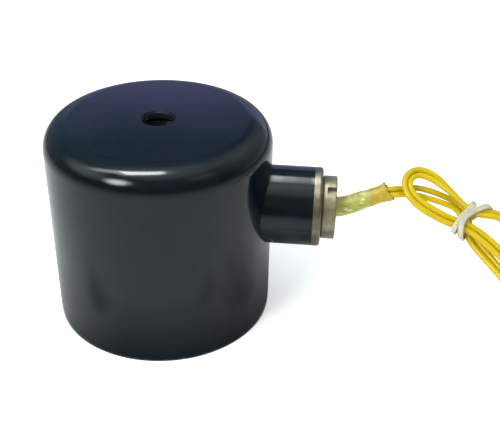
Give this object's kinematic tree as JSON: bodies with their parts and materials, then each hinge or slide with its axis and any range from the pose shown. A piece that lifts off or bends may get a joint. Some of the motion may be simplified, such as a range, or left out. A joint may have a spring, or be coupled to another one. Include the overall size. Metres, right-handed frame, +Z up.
{
  "type": "sprinkler valve solenoid",
  "caption": "Solenoid head in a rounded steel cup: coil and spring-return plunger on a threaded valve socket, with a conduit hub, cable gland and flying leads tied in a hank.",
  "frame": {"origin": "on the cup's axis in the plane of its rim, at the mouth of the valve socket", "axes": "+Z up the cup's axis from rim to top, +X along the cable outlet"},
  "size_m": [0.1598, 0.0688, 0.0565],
  "materials": {
    "navy_paint": "gloss",
    "nickel": "satin",
    "brass": "turned",
    "black_rubber": "matte",
    "zinc_steel": "satin",
    "spring_steel": "satin",
    "stainless": "satin",
    "copper": "satin",
    "bobbin_plastic": "matte",
    "coil_tape": "gloss",
    "fibre": "matte",
    "splice_sleeve": "matte",
    "yellow_wire": "gloss",
    "clear_sleeve": "gloss",
    "white_rubber": "matte"
  },
  "bodies": {
    "head": {"housing_cup": "navy_paint", "conduit_hub": "navy_paint", "gland_body": "nickel", "gland_nut": "nickel", "gland_washer": "brass", "gland_grommet": "black_rubber", "base_plate": "zinc_steel", "base_clip": "spring_steel", "base_socket": "brass", "socket_seal": "black_rubber", "core_tube": "stainless", "fixed_core": "stainless", "shading_ring": "copper", "plunger_spring": "stainless", "bobbin": "bobbin_plastic", "winding": "copper", "winding_tape": "coil_tape", "lower_insulator": "fibre", "upper_insulator": "fibre", "flux_washer": "zinc_steel", "wave_washer": "spring_steel", "lead_splices": "splice_sleeve", "inner_leads": "yellow_wire", "lead_sleeve": "clear_sleeve", "lead_wires": "yellow_wire", "lead_hank": "yellow_wire", "hank_tie": "white_rubber"},
    "plunger": {"plunger": "stainless", "plunger_seal": "black_rubber"}
  },
  "joints": [
    {"name": "plunger_slide", "type": "slide", "parent": "head", "child": "plunger", "axis": [0, 0, 1], "range_m": [0, 0.0025], "stiffness_N_per_m": 400, "springref_m": -0.005, "deforming": ["plunger_spring"]}
  ]
}
